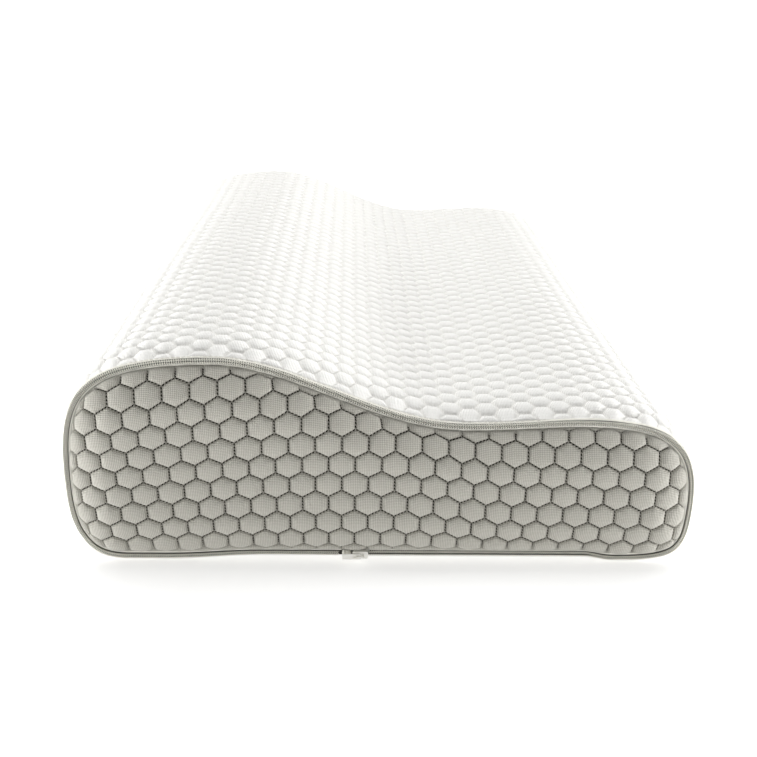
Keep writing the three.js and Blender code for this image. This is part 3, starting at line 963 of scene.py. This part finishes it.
def build_cover():
    # In both knits the needle holes' colour is painted shade.
    wrap_cloth = quilted_cloth(
        "wrap_knit", light=(0.94, 0.935, 0.91), shade=(0.80, 0.785, 0.73), rib_pitch=0.95,
        cross_pitch=2.6, cross_share=0.2, hole_shade=(0.3, 0.3, 0.25), depth=0.34)
    # The panel's knit is painted darker than the wrap's: partly painted shade, as the end faces away
    # from the lights, and partly a greyer knit.
    panel_cloth = quilted_cloth(
        "panel_knit", light=(0.66, 0.644, 0.583), shade=(0.23, 0.22, 0.18), rib_pitch=1.05,
        cross_pitch=1.05, cross_share=0.8, hole_shade=(0.03, 0.027, 0.018), depth=0.8)
    wrap = place_piece(quilted_wrap(wrap_cloth), "pillow", "quilted_knit", "cover_wrap")
    near = quilted_panel("near_panel", panel_cloth, -1, NEAR_RIM_INSET, COIL_BACK, PANEL_FRONT)
    far = quilted_panel("far_panel", panel_cloth, 1, FAR_RIM_INSET, WRAP_END + 0.3, FAR_FACE)
    place_piece(near, "end_flap", "quilted_knit", "near_end_panel")
    place_piece(far, "pillow", "quilted_knit", "far_end_panel")


def build_zip():
    # the tape's last colour is the painted shade behind the teeth
    tape = woven_tape("cream_tape", (0.96, 0.95, 0.88), (0.82, 0.80, 0.70), (0.03, 0.027, 0.02))
    wire = monofilament("coil_wire", (0.90, 0.885, 0.80), (0.72, 0.70, 0.60))
    cotton = thread("sewing_thread", (0.88, 0.86, 0.80), (0.66, 0.64, 0.56))
    place_piece(body_zip_tape(tape), "pillow", "zip_tape", "body_zip_tape")
    place_piece(panel_zip_tape(tape), "end_flap", "zip_tape", "panel_zip_tape")
    body_start = TACK_HIGH[0] + 0.8
    place_piece(zip_coil("body_coil", -1, body_start, wire), "pillow", "zip_coil", "body_zip_coil")
    place_piece(zip_coil("panel_coil", 1, CHAIN_START, wire), "end_flap", "zip_coil", "panel_zip_coil")
    place_piece(end_tack(tape), "pillow", "zip_tape", "zip_end_tack")
    place_piece(tack_stitches(cotton), "pillow", "zip_tape")
    place_piece(tape_stitches(cotton), "pillow", "zip_tape")
    painted = enamel("cream_enamel", (0.93, 0.92, 0.87), (0.62, 0.60, 0.56))
    for name in ("slider_body", "slider_pull"):
        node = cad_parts[name]
        node.data.materials.clear()
        node.data.materials.append(painted)
        bevel = node.modifiers.new("soft_edges", "BEVEL")
        bevel.width = 0.12 * MM
        bevel.segments = 2


def build_inside():
    knit = jersey("liner_knit", (0.90, 0.90, 0.88), (0.72, 0.72, 0.70))
    cotton = thread("liner_thread", (0.9, 0.9, 0.88), (0.7, 0.7, 0.68))
    skin = foam("moulded_foam", (0.88, 0.82, 0.62), (0.74, 0.66, 0.44))
    core = place_piece(foam_core(skin), "pillow", "core_foam", "foam_core")
    place_piece(liner_sleeve(knit), "pillow", "liner_jersey", "liner_sleeve")
    place_piece(liner_end("jersey_near_end", -1, knit), "pillow", "liner_jersey", "liner_near_end")
    place_piece(liner_end("jersey_far_end", 1, knit), "pillow", "liner_jersey", "liner_far_end")
    place_piece(liner_seam("near_liner_seam", -1, cotton), "pillow", "liner_jersey")
    place_piece(liner_seam("far_liner_seam", 1, cotton), "pillow", "liner_jersey")


# ---- floor, light and camera -------------------------------------------------------------------

def build_stage():
    bpy.ops.mesh.primitive_plane_add(size=12, location=(0, 0, -0.0004))
    floor = bpy.context.object
    floor.name = "studio_floor"
    n = Nodes("pale_floor")
    n.link(n.mix(n.math("MULTIPLY", n.noise(3.0), 0.1), (0.95, 0.95, 0.95), (0.93, 0.93, 0.93)),
           n.shader.inputs["Base Color"])
    floor.data.materials.append(
        n.finish(0.9, 0.0, Specular_IOR_Level=0.1, Emission_Color=(1, 1, 1, 1), Emission_Strength=0.42))
    bpy.ops.mesh.primitive_plane_add(size=12, location=(0, 2.6, 3.0), rotation=(math.pi / 2, 0, 0))
    backdrop = bpy.context.object
    backdrop.name = "studio_backdrop"
    n = Nodes("lit_backdrop")
    backdrop.data.materials.append(
        n.finish(0.9, 0.0, Emission_Color=(1, 1, 1, 1), Emission_Strength=0.65))


SIDE_LIGHT_X, SIDE_LIGHT_POWER = 0.9, 6


def area_light(name, location, target, size, power):
    data = bpy.data.lights.new(name, "AREA")
    data.shape = "RECTANGLE"
    data.size, data.size_y = size
    data.energy = power
    lamp = bpy.data.objects.new(name, data)
    lamp.location = location
    aim = Vector(target) - Vector(location)
    lamp.rotation_mode = "QUATERNION"
    lamp.rotation_quaternion = aim.to_track_quat("-Z", "Y")
    bpy.context.scene.collection.objects.link(lamp)


def build_lights():
    world = bpy.data.worlds.new("white_room")
    bpy.context.scene.world = world
    world.use_nodes = True
    world.node_tree.nodes["Background"].inputs["Color"].default_value = (1, 1, 1, 1)
    world.node_tree.nodes["Background"].inputs["Strength"].default_value = 0.31
    area_light("overhead", (0.0, 0.45, 1.9), (0, 0.0, 0.05), (2.6, 1.6), 34)
    for name, x in (("left_side", -SIDE_LIGHT_X), ("right_side", SIDE_LIGHT_X)):
        area_light(name, (x, -0.37, 0.05), (0, -0.27, 0.06), (0.3, 0.12), SIDE_LIGHT_POWER)


CAMERA_PLACE = (-0.0206, -0.829, 0.346)
CAMERA_ANGLES = (22.3, 1.74, 1.22)         # degrees of pitch down, yaw and roll
CAMERA_LENS, SENSOR_WIDTH = 46.84, 36


def build_camera():
    pitch, yaw, roll = (math.radians(angle) for angle in CAMERA_ANGLES)
    ahead = Vector((math.sin(yaw) * math.cos(pitch), math.cos(yaw) * math.cos(pitch), -math.sin(pitch)))
    right = Vector((math.cos(yaw), -math.sin(yaw), 0))
    up = right.cross(ahead)
    tilted_right = math.cos(roll) * right + math.sin(roll) * up
    tilted_up = math.cos(roll) * up - math.sin(roll) * right
    data = bpy.data.cameras.new("camera")
    data.sensor_width = SENSOR_WIDTH
    data.lens = CAMERA_LENS
    camera = bpy.data.objects.new("camera", data)
    basis = Matrix((tilted_right, tilted_up, -ahead)).transposed()
    camera.matrix_world = Matrix.Translation(CAMERA_PLACE) @ basis.to_4x4()
    bpy.context.scene.collection.objects.link(camera)
    bpy.context.scene.camera = camera


bpy.context.scene.view_settings.view_transform = "Standard"
build_camera()
build_stage()
build_lights()
build_cover()
build_zip()
build_inside()
